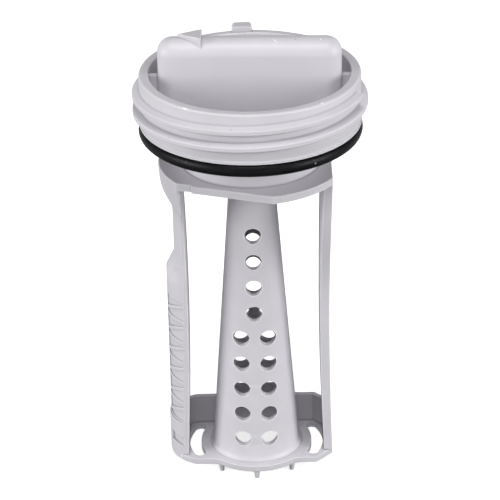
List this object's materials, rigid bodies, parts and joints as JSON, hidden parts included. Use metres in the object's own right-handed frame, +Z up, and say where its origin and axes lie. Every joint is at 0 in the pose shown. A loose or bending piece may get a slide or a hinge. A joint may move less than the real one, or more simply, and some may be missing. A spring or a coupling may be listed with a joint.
{
  "type": "drain pump lint filter",
  "caption": "Screw-in lint filter: threaded cap with grip bar and arrow, rubber seal ring, open strainer with side arms, perforated cone and pinned base.",
  "frame": {"origin": "on the screw axis, at the ends of the pins that it stands on", "axes": "+Z up along the screw axis to the grip bar, X from arm to arm, -Y the front with the cone's holes"},
  "size_m": [0.066, 0.066, 0.135],
  "materials": {
    "grey_plastic": "fine moulded satin",
    "black_rubber": "smooth satin"
  },
  "bodies": {
    "root": {"threaded_cap": "grey_plastic", "strainer": "grey_plastic", "seal_ring": "black_rubber"}
  },
  "joints": []
}
